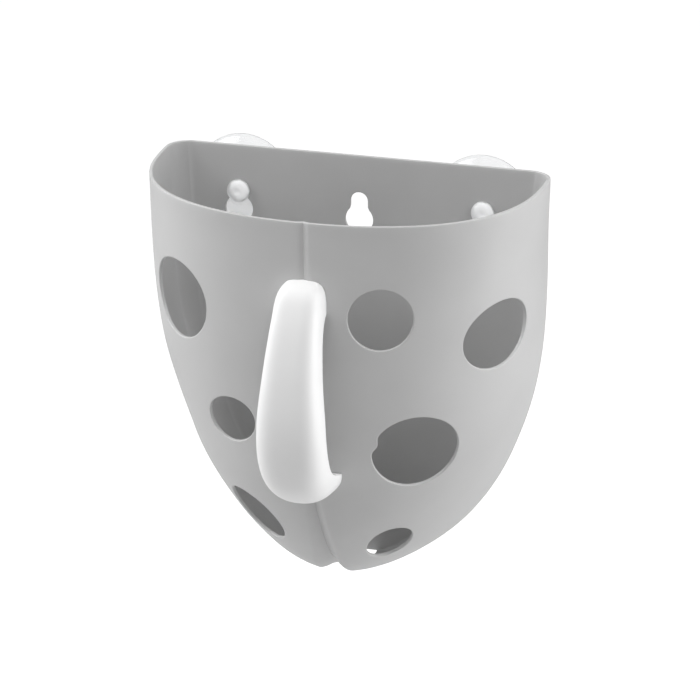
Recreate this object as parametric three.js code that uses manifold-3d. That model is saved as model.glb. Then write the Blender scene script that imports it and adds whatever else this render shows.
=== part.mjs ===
// A bath toy organizer. A one-piece plastic basket with a flat back and a rounded belly hangs on
// two clear suction cups, whose mushroom heads sit in keyholes of the back wall. A white grip snaps
// into two slots of the belly, so that the basket also works as a scoop, and round holes of several
// sizes let the water out. A shallow crease runs down the middle of the belly and parts its bottom
// into two lobes. X runs across, Y into the wall behind the basket, Z up.
import * as THREE from "three";
import { mergeVertices } from "three/addons/utils/BufferGeometryUtils.js";
import Module from "manifold-3d";

const wasm = await Module();
wasm.setup();

// Basket, in millimetres.
const basketWidth = 250;
const basketHeight = 272;
const basketDepth = 133.5;
const wallThickness = 2.2;
const cornerRadius = 8;
const cornerLimitShare = 0.33;
const tipHeight = 1;
const sideRun = 9.9;

// How far the belly's two profiles and its level sections swell, as exponents.
const widthSwell = { level: 3.1, root: 0.56 };
const depthSwell = { level: 3.2, root: 0.43 };
const sectionAcross = { bottom: 1.85, top: 2.18 };
const sectionForward = { bottom: 1.56, top: 2.74 };

// Crease down the middle of the belly.
const creaseDepthTop = 1.4;
const creaseDepthBottom = 8;
const creaseHalfWidthTop = 3.2;
const creaseHalfWidthBottom = 13;
const creaseFade = 4.4;
const creaseBackShare = 0.4;
const creaseSharpness = 1.4;
const coreHeight = 70;
const coreSetback = 40;

// Running clearance between pieces, and the overrun of every cut.
const clearance = 0.3;
const overrun = 6;

// Round holes of the belly: place and size as shares of the basket's half width and height.
const spotShares = [
  { across: -0.719, up: 0.747, wide: 0.237, high: 0.209, tilt: 0.5 },
  { across: -0.416, up: 0.484, wide: 0.159, high: 0.128, tilt: 0.38 },
  { across: -0.364, up: 0.209, wide: 0.156, high: 0.198, tilt: 0.55 },
  { across: 0.373, up: 0.777, wide: 0.163, high: 0.159, tilt: -0.88 },
  { across: 0.877, up: 0.703, wide: 0.244, high: 0.181, tilt: 0.05 },
  { across: 0.516, up: 0.436, wide: 0.232, high: 0.207, tilt: -0.43, nib: true },
  { across: 0.32, up: 0.159, wide: 0.134, high: 0.13, tilt: -0.5 },
];
const spotCutReach = 15;
const nibRadius = 5;
const nibReach = 2;
const nibTurn = -0.25;

// Drain through the lowest part of the floor, beside the back wall.
const drainWidth = 26;
const drainRun = 15;
const drainHeight = 9;

// Keyholes of the back wall and the suction cups in them.
const keyholeBelowRim = 29.2;
const keyholeFromSide = 45.5;
const keyholeNeckWidth = 11;
const keyholeLobeDiameter = 17.9;
const keyholeDrop = 12.4;
const cupDiameter = 60;
const cupStandOff = 15;
const cupHeadDiameter = 14.8;
const cupHeadThickness = 5;
const cupShoulderDiameter = 22;
const cupLipWidth = 1.4;
const cupSkin = 1.6;
const cupHubThickness = 4.5;
const cupDishDepth = 0.65;
const cupFlare = 1.5;
const cupDimpleRadius = 2.2;
const cupDimpleDepth = 0.9;
const cupDimpleShare = 0.3;
const cupDishShares = [0.15, 0.4, 0.65, 0.85];

// The mushroom head's rounded edge, from front to back: radius and depth as shares.
const cupHeadShares = [[0.72, 0.1], [0.93, 0.32], [1, 0.62], [0.96, 1]];

// Grip on the belly: a channel that is open towards the basket.
const gripBelowRim = 36.5;
const gripHeight = 146.5;
const gripReach = 39;
const gripWidthTop = 31.5;
const gripWidthBottom = 44.5;
const gripSkin = 2.6;
const gripRoundness = 2.7;

// Outer and inner lines of the grip, from its lower root to its upper one: how far each point
// stands out of the wall, as a share of the reach, and how high, as a share of the grip's height.
const gripOuterShares = [
  [-0.75, 0], [-0.24, 0], [0.293, 0.037], [0.733, 0.141], [0.933, 0.275],
  [1, 0.436], [0.9, 0.658], [0.61, 0.893], [0.35, 0.987], [-0.1, 1],
];
const gripInnerShares = [
  [-0.75, 0.1], [-0.35, 0.115], [0, 0.145], [0.267, 0.195], [0.467, 0.289],
  [0.52, 0.436], [0.43, 0.638], [0.24, 0.799], [0.13, 0.846], [-0.1, 0.866],
];
const gripWidthShares = [0.93, 0.95, 1, 1, 0.98, 0.8, 0.3, 0, 0, 0];

// Snap tongues of the grip and the slots that they pass through.
const tongueThickness = 3;
const tongueWidth = 16;
const tongueLengthInside = 3.4;
const barbRise = 1.8;
const rootPlate = 3;
const upperTongueInset = 8.5;
const lowerTongueInset = 6;

// The part's origin lies on the back face at this height above the basket's lowest point.
const faceHeight = 134;

// Steps of the curved surfaces.
const levelCount = 20;
const levelCrowding = 1.6;
const frontSteps = 15;
const cornerSteps = 3;
const creaseSteps = 3;
const gripSteps = 26;
const gripSectionSteps = 12;
const spotSteps = 32;
const cupSteps = 32;

const halfWidth = basketWidth / 2;
const keyholeHeight = basketHeight - keyholeBelowRim;
const keyholeSpacing = halfWidth - keyholeFromSide;
const gripTop = basketHeight - gripBelowRim;
const gripBottom = gripTop - gripHeight;
const tongueHeights = [gripTop - upperTongueInset, gripBottom + lowerTongueInset];

const plastic = { roughness: 0.5, metalness: 0 };
const grey = new THREE.MeshStandardMaterial({ color: 0xa9a9a9, ...plastic });
const white = new THREE.MeshStandardMaterial({ color: 0xf4f4f4, roughness: 0.35, metalness: 0 });
const clear = new THREE.MeshStandardMaterial({
  color: 0xe6ecee, roughness: 0.15, metalness: 0, transparent: true, opacity: 0.5,
});

// Makes a closed skin over a stack of rings that all have the same number of points. Each ring
// runs anticlockwise seen from the side that the stack grows towards.
function skinRings(rings, flatRing) {
  const count = rings[0].length;
  const faces = [];
  for (let level = 0; level + 1 < rings.length; level += 1) {
    for (let step = 0; step < count; step += 1) {
      const next = (step + 1) % count;
      const [a, b] = [level * count + step, level * count + next];
      const [c, d] = [a + count, b + count];
      faces.push(a, b, d, a, d, c);
    }
  }
  const lastStart = (rings.length - 1) * count;
  for (const [a, b, c] of THREE.ShapeUtils.triangulateShape(flatRing(rings[0]), [])) {
    faces.push(c, b, a);
  }
  for (const [a, b, c] of THREE.ShapeUtils.triangulateShape(flatRing(rings.at(-1)), [])) {
    faces.push(lastStart + a, lastStart + b, lastStart + c);
  }
  const geometry = new THREE.BufferGeometry();
  geometry.setFromPoints(rings.flat());
  geometry.setIndex(faces);
  return geometry;
}

// Turns a closed geometry into a solid that can be cut and joined.
function solidOf(geometry) {
  const bare = geometry.clone();
  bare.deleteAttribute("normal");
  bare.deleteAttribute("uv");
  const merged = mergeVertices(bare);
  return new wasm.Manifold(new wasm.Mesh({
    numProp: 3,
    vertProperties: new Float32Array(merged.attributes.position.array),
    triVerts: new Uint32Array(merged.index.array),
  }));
}

// Turns a finished solid into a named mesh.
function meshOf(name, solid, material) {
  const { vertProperties, triVerts } = solid.getMesh();
  const geometry = new THREE.BufferGeometry();
  geometry.setAttribute("position", new THREE.BufferAttribute(vertProperties, 3));
  geometry.setIndex(new THREE.BufferAttribute(triVerts, 1));
  geometry.computeVertexNormals();
  const mesh = new THREE.Mesh(geometry, material);
  mesh.name = name;
  return mesh;
}

// A box between two corners.
function boxSolid(low, high) {
  const size = new THREE.Vector3().subVectors(high, low);
  const middle = new THREE.Vector3().addVectors(high, low).multiplyScalar(0.5);
  const box = new THREE.BoxGeometry(size.x, size.y, size.z);
  return solidOf(box.translate(middle.x, middle.y, middle.z));
}

// The basket's skin at one level, drawn in from the true outer face by an inset. A negative inset
// gives a skin outside it.
function basketSection(height, inset) {
  const share = Math.min(1, (height - inset + tipHeight) / (basketHeight - inset + tipHeight));
  const swell = ({ level, root }) => (1 - (1 - share) ** level) ** root;
  const across = (halfWidth - inset) * swell(widthSwell);
  const forward = (basketDepth - inset) * swell(depthSwell);
  const low = (1 - share) ** creaseFade;
  return {
    across,
    forward,
    side: sideRun * swell(depthSwell),
    corner: Math.min(Math.max(cornerRadius - inset, wallThickness), across * cornerLimitShare),
    roundAcross: THREE.MathUtils.lerp(sectionAcross.bottom, sectionAcross.top, share),
    roundForward: THREE.MathUtils.lerp(sectionForward.bottom, sectionForward.top, share),
    creaseDepth: THREE.MathUtils.lerp(creaseDepthTop, creaseDepthBottom, low),
    creaseHalfWidth: THREE.MathUtils.lerp(creaseHalfWidthTop, creaseHalfWidthBottom, low),
  };
}

// How far forward the belly stands at a place across it, without the crease.
function bellyForward(section, x) {
  const cosine = Math.min(1, Math.abs(x) / section.across) ** (section.roundAcross / 2);
  const sine = Math.sqrt(1 - cosine * cosine);
  return section.side + (section.forward - section.side) * sine ** (2 / section.roundForward);
}

// Presses the crease into a point of the belly, towards the basket's core.
function pressCrease(point, section) {
  const aside = Math.abs(point.x) / Math.min(section.creaseHalfWidth, section.across / 2);
  if (aside >= 1) {
    return point;
  }
  const back = Math.max(point.y, -coreSetback);
  const inward = new THREE.Vector3(point.x, back, Math.max(point.z, coreHeight)).sub(point);
  const depth = section.creaseDepth * (1 - aside) ** creaseSharpness;
  const fade = THREE.MathUtils.smoothstep(-point.y, 0, coreSetback);
  const kept = THREE.MathUtils.lerp(creaseBackShare, 1, fade);
  return point.addScaledVector(inward.normalize(), depth * kept);
}

// One ring of the basket's skin, anticlockwise seen from above, starting behind the crease.
function basketRing(height, inset, backY) {
  const section = basketSection(height, inset);
  const right = [];
  for (let step = 0; step <= cornerSteps; step += 1) {
    const turn = (Math.PI / 2) * (step / cornerSteps);
    const x = section.across - section.corner * (1 - Math.sin(turn));
    right.push(new THREE.Vector3(x, backY - section.corner * (1 - Math.cos(turn)), height));
  }
  const creaseEdge = Math.min(section.creaseHalfWidth, section.across / 2);
  const creaseTurn = Math.acos((creaseEdge / section.across) ** (section.roundAcross / 2));
  for (let step = 1; step <= frontSteps; step += 1) {
    const turn = creaseTurn * (step / frontSteps);
    const x = section.across * Math.cos(turn) ** (2 / section.roundAcross);
    const y = -bellyForward(section, x);
    right.push(new THREE.Vector3(x, Math.min(y, backY - section.corner), height));
  }
  for (let step = 1; step < creaseSteps; step += 1) {
    const x = creaseEdge * (1 - step / creaseSteps);
    right.push(pressCrease(new THREE.Vector3(x, -bellyForward(section, x), height), section));
  }
  const middle = pressCrease(new THREE.Vector3(0, -bellyForward(section, 0), height), section);
  const left = right.map((point) => new THREE.Vector3(-point.x, point.y, point.z));
  const back = [];
  for (let step = 0; step <= 2 * creaseSteps; step += 1) {
    const x = creaseEdge * (1 - step / creaseSteps);
    back.push(pressCrease(new THREE.Vector3(x, backY, height), section));
  }
  return [...back, ...left, middle, ...right.reverse()];
}

// The solid inside the basket's skin at an inset, up to a height.
function basketBody(inset, topHeight, backY) {
  const rings = [];
  for (let level = 0; level <= levelCount; level += 1) {
    const share = (level / levelCount) ** levelCrowding;
    rings.push(basketRing(inset + (topHeight - inset) * share, inset, backY));
  }
  return solidOf(skinRings(rings, (ring) => ring.map(({ x, y }) => new THREE.Vector2(x, y))));
}

// Where a place on the belly lies in space, and which way the belly faces there.
function bellyPlace(across, up) {
  const at = (x, z) => new THREE.Vector3(x, -bellyForward(basketSection(z, 0), x), z);
  const [x, z] = [across * halfWidth, up * basketHeight];
  const tangentAcross = at(x + clearance, z).sub(at(x - clearance, z));
  const tangentUp = at(x, z + clearance).sub(at(x, z - clearance));
  const outward = tangentAcross.cross(tangentUp).normalize();
  return { point: at(x, z), outward };
}

// The cutter of one round hole, square to the belly.
function spotCutter({ across, up, wide, high, tilt, nib }) {
  const { point, outward } = bellyPlace(across, up);
  const level = new THREE.Vector3(-outward.y, outward.x, 0).normalize();
  const upright = new THREE.Vector3().crossVectors(outward, level);
  const frame = new THREE.Matrix4().makeBasis(level, upright, outward).setPosition(point);
  const disc = new THREE.CylinderGeometry(1, 1, 2 * spotCutReach, spotSteps);
  disc.rotateX(Math.PI / 2).scale(wide * halfWidth, high * halfWidth, 1).rotateZ(tilt);
  const cutter = solidOf(disc.applyMatrix4(frame));
  if (!nib) {
    return cutter;
  }
  const nibHeight = 2 * (spotCutReach + overrun);
  const stub = new THREE.CylinderGeometry(nibRadius, nibRadius, nibHeight, spotSteps);
  stub.rotateX(Math.PI / 2).translate(nibReach - nibRadius - wide * halfWidth, 0, 0).rotateZ(nibTurn);
  return cutter.subtract(solidOf(stub.applyMatrix4(frame)));
}

// The cutter of one keyhole: a neck with a round top over a wider lobe.
function keyholeCutter(x) {
  const depth = 2 * overrun + wallThickness;
  const neckRadius = keyholeNeckWidth / 2;
  const round = (radius, z) => {
    const disc = new THREE.CylinderGeometry(radius, radius, depth, cupSteps);
    return solidOf(disc.translate(x, -wallThickness / 2, z));
  };
  const lobeHeight = keyholeHeight - keyholeDrop;
  const neck = boxSolid(
    new THREE.Vector3(x - neckRadius, -wallThickness - overrun, lobeHeight),
    new THREE.Vector3(x + neckRadius, overrun, keyholeHeight),
  );
  return round(neckRadius, keyholeHeight).add(neck).add(round(keyholeLobeDiameter / 2, lobeHeight));
}

// The drain: an oval hole straight down through the floor.
function drainCutter() {
  const oval = new THREE.CylinderGeometry(1, 1, drainHeight + overrun, spotSteps);
  oval.rotateX(Math.PI / 2).scale(drainWidth / 2, drainRun / 2, 1);
  return solidOf(oval.translate(0, -wallThickness - drainRun / 2, (drainHeight - overrun) / 2));
}

// The block that a snap tongue fills, grown by a clearance on its four sides.
function tongueBlock(height, grow) {
  const half = new THREE.Vector2(tongueWidth / 2 + grow, tongueThickness / 2 + grow);
  return boxSolid(
    new THREE.Vector3(-half.x, -basketDepth - rootPlate, height - half.y),
    new THREE.Vector3(half.x, -basketDepth / 2, height + half.y),
  );
}

function makeBasket() {
  let basket = basketBody(0, basketHeight, 0);
  basket = basket.subtract(basketBody(wallThickness, basketHeight + overrun, -wallThickness));
  for (const spot of spotShares) {
    basket = basket.subtract(spotCutter(spot));
  }
  for (const x of [-keyholeSpacing, 0, keyholeSpacing]) {
    basket = basket.subtract(keyholeCutter(x));
  }
  for (const height of tongueHeights) {
    basket = basket.subtract(tongueBlock(height, clearance));
  }
  return basket.subtract(drainCutter());
}

// A smooth line through points given as shares of the grip's reach and height.
function gripLine(shares) {
  return new THREE.CatmullRomCurve3(shares.map(([out, up]) => {
    const y = -basketDepth - gripReach * out;
    return new THREE.Vector3(0, y, gripBottom + gripHeight * up);
  }));
}

// Half a rounded section across a depth, from one side over the front to the other.
function gripArc(halfSpan, depth) {
  const points = [];
  for (let step = 0; step <= gripSectionSteps; step += 1) {
    const turn = Math.PI * (step / gripSectionSteps);
    const cosine = Math.cos(turn);
    const x = -halfSpan * Math.sign(cosine) * Math.abs(cosine) ** (2 / gripRoundness);
    points.push([x, depth * (1 - Math.sin(turn) ** (2 / gripRoundness))]);
  }
  return points;
}

// The grip's solid. Each section spans the outer and the inner line, and a hollow one is a channel.
function gripSolid(hollow) {
  const outer = gripLine(gripOuterShares);
  const inner = gripLine(gripInnerShares);
  const widths = new THREE.CatmullRomCurve3(gripWidthShares.map((share, index) => {
    const width = THREE.MathUtils.lerp(gripWidthTop, gripWidthBottom, share);
    return new THREE.Vector3(index, width / 2, 0);
  }));
  const flats = [];
  const rings = [];
  for (let step = 0; step <= gripSteps; step += 1) {
    const share = step / gripSteps;
    const [front, back] = [outer.getPoint(share), inner.getPoint(share)];
    const halfSpan = widths.getPoint(share).y;
    const depth = front.distanceTo(back);
    const inward = back.clone().sub(front).normalize();
    const section = gripArc(halfSpan, depth);
    if (hollow) {
      const inside = gripArc(halfSpan - gripSkin, depth - gripSkin).reverse();
      section.push(...inside.map(([x, down]) => [x, down + gripSkin]));
    }
    flats.push(section.map(([x, down]) => new THREE.Vector2(x, down)));
    rings.push(section.map(([x, down]) => front.clone().addScaledVector(inward, down).setX(x)));
  }
  return solidOf(skinRings(rings, (ring) => flats[rings.indexOf(ring)]));
}

function makeGrip() {
  const outside = basketBody(-clearance, basketHeight, clearance);
  const around = basketBody(-clearance - rootPlate, basketHeight, clearance);
  const inside = basketBody(wallThickness + clearance, basketHeight, -wallThickness);
  const deeper = basketBody(wallThickness + tongueLengthInside, basketHeight, -wallThickness);
  let grip = gripSolid(true).add(gripSolid(false).intersect(around)).subtract(outside);
  for (const height of tongueHeights) {
    const barb = boxSolid(
      new THREE.Vector3(-tongueWidth / 2, -basketDepth, height - tongueThickness / 2),
      new THREE.Vector3(tongueWidth / 2, -basketDepth / 2, height + tongueThickness / 2 + barbRise),
    );
    grip = grip.add(tongueBlock(height, 0).intersect(around).subtract(deeper));
    grip = grip.add(barb.intersect(inside).subtract(deeper));
  }
  return grip;
}

// The profile of a suction cup, from the middle of its head to the middle of its hollow.
function cupProfile() {
  const headRadius = cupHeadDiameter / 2;
  const neckRadius = keyholeNeckWidth / 2 - clearance;
  const headBack = -wallThickness - clearance;
  const headFront = headBack - cupHeadThickness;
  const rim = cupDiameter / 2;
  const shoulder = cupShoulderDiameter / 2;
  const points = [
    [0, headFront + cupDimpleDepth],
    [cupDimpleRadius / 2, headFront + cupDimpleDepth * (1 - cupDimpleShare)],
    [cupDimpleRadius, headFront],
    ...cupHeadShares.map(([out, back]) => [headRadius * out, headFront + cupHeadThickness * back]),
    [neckRadius, headBack],
    [neckRadius, clearance],
    [shoulder, clearance],
  ];
  const dish = (share, reach, lift) => {
    const rise = (cupStandOff - clearance - lift) * share ** cupFlare;
    return [shoulder + (reach - shoulder) * share, clearance + lift + rise];
  };
  for (const share of cupDishShares) {
    points.push(dish(share, rim, cupSkin));
  }
  points.push([rim, cupStandOff - cupSkin / 2]);
  points.push([rim, cupStandOff]);
  points.push([rim - cupLipWidth, cupStandOff]);
  for (const share of cupDishShares.toReversed()) {
    points.push(dish(share, rim - cupLipWidth, cupHubThickness - cupDishDepth));
  }
  points.push([0, clearance + cupHubThickness]);
  return points.map(([radius, y]) => new THREE.Vector2(radius, y));
}

function makeCup(name, x) {
  const cup = new THREE.LatheGeometry(cupProfile(), cupSteps);
  const mesh = meshOf(name, solidOf(cup), clear);
  mesh.position.set(x, 0, keyholeHeight);
  return mesh;
}

const organizer = new THREE.Group();
organizer.add(meshOf("basket", makeBasket(), grey));
organizer.add(meshOf("grip", makeGrip(), white));
organizer.add(makeCup("suction_cup_left", -keyholeSpacing));
organizer.add(makeCup("suction_cup_right", keyholeSpacing));
organizer.position.set(0, 0, -faceHeight);

export default organizer;
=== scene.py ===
# %% [markdown]
# # Bath toy organizer
# A moulded plastic basket hangs on two clear suction cups. It has a flat back with three keyholes, a
# rounded belly with seven oval water holes, a crease down the middle of the belly, and a white grip.
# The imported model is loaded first. It gives the frame that every piece is measured in.

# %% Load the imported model
import math
from types import SimpleNamespace

import bmesh
import bpy
from mathutils import Matrix, Vector


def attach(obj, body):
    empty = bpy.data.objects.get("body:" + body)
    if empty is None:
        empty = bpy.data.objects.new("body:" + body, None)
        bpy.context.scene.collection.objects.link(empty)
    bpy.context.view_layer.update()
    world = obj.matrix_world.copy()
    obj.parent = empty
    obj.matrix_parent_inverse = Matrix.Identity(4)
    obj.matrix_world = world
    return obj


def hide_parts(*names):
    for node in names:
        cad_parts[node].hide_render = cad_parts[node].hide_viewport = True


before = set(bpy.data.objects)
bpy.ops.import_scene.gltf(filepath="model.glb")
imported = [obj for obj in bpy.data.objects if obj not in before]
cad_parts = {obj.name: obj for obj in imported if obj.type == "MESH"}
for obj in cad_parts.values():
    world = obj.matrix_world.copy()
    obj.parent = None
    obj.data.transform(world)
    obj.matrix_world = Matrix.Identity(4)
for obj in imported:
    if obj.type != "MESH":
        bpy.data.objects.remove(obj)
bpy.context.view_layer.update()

# %% [markdown]
# ## Camera, first
# A photographer's long lens from far away keeps the basket's sides nearly parallel. The angles and the
# distance were fitted to the photograph once, so the camera is placed by angles round a target. The
# small lens shift frames the basket as the photograph does, without turning the camera.

# %% Camera
MM = 0.001
camera_turn = math.radians(15.756)
camera_rise = math.radians(21.543)
camera_distance = 2.4972
camera_target = Vector((0, -0.05, 0.0137))

camera_data = bpy.data.cameras.new("camera")
camera_data.lens = 204.6
camera_data.sensor_width = 36
camera_data.shift_x = 0.01379
camera_data.shift_y = 0.02456
camera = bpy.data.objects.new("camera", camera_data)
bpy.context.scene.collection.objects.link(camera)
toward_camera = Vector((
    math.sin(camera_turn) * math.cos(camera_rise),
    -math.cos(camera_turn) * math.cos(camera_rise),
    math.sin(camera_rise),
))
camera.location = camera_target + toward_camera * camera_distance
camera.rotation_euler = toward_camera.to_track_quat("Z", "Y").to_euler()
bpy.context.scene.camera = camera
bpy.context.scene.view_settings.view_transform = "Standard"
print("camera at", [round(v, 3) for v in camera.location])

# %% [markdown]
# ## Small helpers for modelling by hand
# An operator works on what is selected, so each step starts with nothing selected. These helpers pick
# an object, open and close edit mode, and apply a modifier when its work is done.

# %% Helpers
def pick(*objects):
    bpy.ops.object.select_all(action="DESELECT")
    for thing in objects:
        thing.select_set(True)
    bpy.context.view_layer.objects.active = objects[0]


def edit(thing):
    pick(thing)
    bpy.ops.object.mode_set(mode="EDIT")
    bpy.ops.mesh.select_all(action="DESELECT")
    return bmesh.from_edit_mesh(thing.data)


def leave_edit():
    bpy.ops.object.mode_set(mode="OBJECT")


def apply_modifier(thing, kind, **settings):
    pick(thing)
    modifier = thing.modifiers.new(kind.title(), kind)
    for key, value in settings.items():
        setattr(modifier, key, value)
    bpy.ops.object.modifier_apply(modifier=modifier.name)


def cut_with(thing, cutter, operation="DIFFERENCE"):
    apply_modifier(thing, "BOOLEAN", object=cutter, operation=operation, solver="MANIFOLD")
    bpy.data.objects.remove(cutter)


def name_it(name):
    thing = bpy.context.object
    thing.name = name
    thing.data.name = name
    return thing


def lerp(start, end, share):
    return start + (end - start) * share


def smooth_step(share):
    share = min(1.0, max(0.0, share))
    return share * share * (3 - 2 * share)


def smooth_through(knots, where):
    """The height, at a place, of a smooth line through knots of (place, height)."""
    where = min(knots[-1][0], max(knots[0][0], where))
    index = max(i for i in range(len(knots) - 1) if knots[i][0] <= where)
    slopes = []
    for i in (index, index + 1):
        before, after = knots[max(0, i - 1)], knots[min(len(knots) - 1, i + 1)]
        slopes.append((after[1] - before[1]) / (after[0] - before[0]))
    (start, low), (end, high) = knots[index], knots[index + 1]
    share, run = (where - start) / (end - start), end - start
    square, cube = share ** 2, share ** 3
    return (low * (2 * cube - 3 * square + 1) + slopes[0] * run * (cube - 2 * square + share)
            + high * (3 * square - 2 * cube) + slopes[1] * run * (cube - square))


def count_of(thing):
    return sum(len(face.vertices) - 2 for face in thing.data.polygons)


# %% [markdown]
# ## The form of the basket
# The real basket is moulded. Each of its level sections is half an oval with a flat back and rounded
# corners, and its width and depth swell quickly from the bottom and hardly change towards the rim. A
# few named numbers describe that former, and the wall is wrapped round it later, which keeps the belly
# smooth under a soft light.

# %% Sizes of the basket
basket_width, basket_height, basket_depth = 250 * MM, 272 * MM, 133.5 * MM
half_width = basket_width / 2
wall = 2.2 * MM
corner_radius, low_corner, side_run, tip_height = 15 * MM, 8 * MM, 9.9 * MM, 1 * MM
corner_spread, widest_corner, corner_limit = 0.11, 20 * MM, 0.33
line_turn, line_half, line_rise = 0.33, 0.5 * MM, 0.3 * MM
face_height = 134 * MM
crease_setback, crease_height = 40 * MM, 70 * MM
width_run, width_power, depth_run, depth_power = 3.1, 0.56, 3.2, 0.43
low_power, corner_power, crease_power, rear_crease = 4.4, 6, 1.2, 0.4


def basket_section(up, inset=0.0):
    share = min(1.0, (up - inset + tip_height) / (basket_height - inset + tip_height))
    width_swell = (1 - (1 - share) ** width_run) ** width_power
    depth_swell = (1 - (1 - share) ** depth_run) ** depth_power
    low = (1 - share) ** low_power
    across = (half_width - inset) * width_swell
    limit = across * corner_limit
    corner = min(max(lerp(low_corner, corner_radius, share ** corner_power) - inset, wall), limit)
    return SimpleNamespace(
        across=across,
        forward=(basket_depth - inset) * depth_swell,
        side=math.hypot((side_run * depth_swell) ** 4, corner ** 4) ** 0.25,
        corner=corner,
        corner_across=min(corner_radius + corner_spread * (basket_height - up), widest_corner, limit),
        round_across=lerp(1.85, 2.18, share),
        round_forward=lerp(1.56, 2.74, share),
        crease_depth=lerp(1.4, 10.5, low) * MM,
        crease_half=min(lerp(3.8, 11.5, low) * MM, across / 2),
    )


def belly_forward(section, x):
    cosine = min(1.0, abs(x) / section.across) ** (section.round_across / 2)
    sine = math.sqrt(1 - cosine * cosine)
    return section.side + (section.forward - section.side) * sine ** (2 / section.round_forward)


def press_crease(point, section):
    aside = abs(point.x) / section.crease_half
    if aside >= 1:
        return point
    core = Vector((point.x, max(point.y, -crease_setback), max(point.z, crease_height)))
    inward = (core - point).normalized()
    depth = section.crease_depth * (1 - aside) ** crease_power
    return point + inward * depth * lerp(rear_crease, 1, smooth_step(-point.y / crease_setback))


def rim_level(up, x):
    return -belly_forward(basket_section(up), x)


print("rim section:", basket_section(basket_height))

# %% [markdown]
# ## Wrapping the wall
# The wall could be a stack of extruded rings, or a sheet that is wrapped once. A sheet is chosen: a
# grid is added with as many columns as the section needs, and each of its points is laid on the
# former. Columns are crowded at the corners and the crease, and rows follow the length of the side, so
# no square is wider than a few millimetres. A very fine step runs down each back corner beside one of
# the columns, and shows as a faint light line inside.

# %% Rows and columns of the sheet
back_columns, corner_columns, belly_columns, crease_columns = 28, 10, 66, 8
line_column = 3
half_columns = back_columns + corner_columns + belly_columns + crease_columns
row_count = 96
row_probes, probe_power, swell_weight = 4000, 3, 0.7


def row_heights():
    lengths = [0.0]
    ups = [basket_height * (probe / row_probes) ** probe_power for probe in range(row_probes + 1)]
    last = basket_section(ups[0])
    for below, up in zip(ups, ups[1:]):
        here = basket_section(up)
        steps = (up - below, (here.across - last.across) * swell_weight,
                 (here.forward - last.forward) * swell_weight)
        lengths.append(lengths[-1] + math.hypot(*steps))
        last = here
    heights = []
    probe = 0
    for row in range(row_count + 1):
        wanted = lengths[-1] * row / row_count
        while probe < row_probes and lengths[probe] < wanted:
            probe += 1
        heights.append(ups[probe])
    return heights


def corner_turn(column, section):
    narrow = min(line_half / section.corner_across, line_turn / 4)
    if column < line_column - 1:
        return (line_turn - narrow) * column / (line_column - 1)
    if column <= line_column:
        return line_turn - narrow * (line_column - column)
    start = line_turn + narrow
    rest = corner_columns - line_column - 1
    return lerp(start, math.pi / 2, (column - line_column - 1) / rest)


def half_ring_point(column, up):
    section = basket_section(up)
    if column <= back_columns:
        x = (section.across - section.corner_across) * column / back_columns
        return press_crease(Vector((x, 0, up)), section)
    column -= back_columns
    if column <= corner_columns:
        turn = corner_turn(column, section)
        x = section.across - section.corner_across * (1 - math.sin(turn))
        step = line_rise * section.corner / corner_radius if column >= line_column else 0
        step *= (corner_columns - column) / (corner_columns - line_column)
        return Vector((x, -section.corner * (1 - math.cos(turn)) - step, up))
    column -= corner_columns
    if column <= belly_columns:
        end_turn = math.acos((section.crease_half / section.across) ** (section.round_across / 2))
        turn = end_turn * column / belly_columns
        x = section.across * math.cos(turn) ** (2 / section.round_across)
        return Vector((x, min(-belly_forward(section, x), -section.corner), up))
    column -= belly_columns
    x = section.crease_half * (1 - column / crease_columns)
    return press_crease(Vector((x, -belly_forward(section, x), up)), section)


heights = row_heights()
print("rows are", round((heights[-1] - heights[-2]) / MM, 2), "mm apart at the rim")

# %% Add the sheet and wrap it
weld_gap = 0.01 * MM

bpy.ops.object.select_all(action="DESELECT")
bpy.ops.mesh.primitive_grid_add(x_subdivisions=2 * half_columns, y_subdivisions=row_count, size=2)
basket = name_it("basket_shell")
for vertex in basket.data.vertices:
    column = round(vertex.co.x * half_columns)
    row = round((vertex.co.y + 1) / 2 * row_count)
    point = half_ring_point(half_columns - abs(column), heights[row])
    side = 1 if column > 0 else -1
    vertex.co = Vector((side * point.x, point.y, point.z - face_height))

edit(basket)
bpy.ops.mesh.select_all(action="SELECT")
bpy.ops.mesh.remove_doubles(threshold=weld_gap)
leave_edit()
print("sheet:", len(basket.data.polygons), "squares")

# %% [markdown]
# ## Outlines of the holes
# Seven ovals let the water out, and three keyholes take the suction cups. Each outline is drawn as a
# closed line of points in a small frame of its own that lies square to the wall. One oval keeps a
# little nib of plastic at its side.

# %% Ovals and keyholes
spots = [
    {"across": -0.715, "up": 0.751, "wide": 0.229, "high": 0.207, "tilt": 0.35},
    {"across": -0.417, "up": 0.487, "wide": 0.16, "high": 0.124, "tilt": 0.41},
    {"across": -0.367, "up": 0.206, "wide": 0.16, "high": 0.184, "tilt": 0.46},
    {"across": 0.375, "up": 0.778, "wide": 0.162, "high": 0.16, "tilt": -0.75},
    {"across": 0.873, "up": 0.701, "wide": 0.229, "high": 0.181, "tilt": 0.02},
    {"across": 0.514, "up": 0.436, "wide": 0.231, "high": 0.209, "tilt": -0.41, "nib": True},
    {"across": 0.319, "up": 0.157, "wide": 0.12, "high": 0.138, "tilt": 0.08},
]
outline_steps = 144
nib_radius, nib_reach, nib_turn = 5 * MM, 3 * MM, -0.25
nib_shrink, nib_rounds = 0.995, 6
keyhole_up = basket_height - 29.9 * MM
keyhole_places = [-80.3 * MM, -1.2 * MM, 79.2 * MM]
neck_radius, lobe_radius, keyhole_drop = 5.5 * MM, 8.95 * MM, 12.4 * MM
fillet, arc_step, fewest_steps, point_gap = 2.5 * MM, 0.6 * MM, 6, 0.05 * MM


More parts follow.
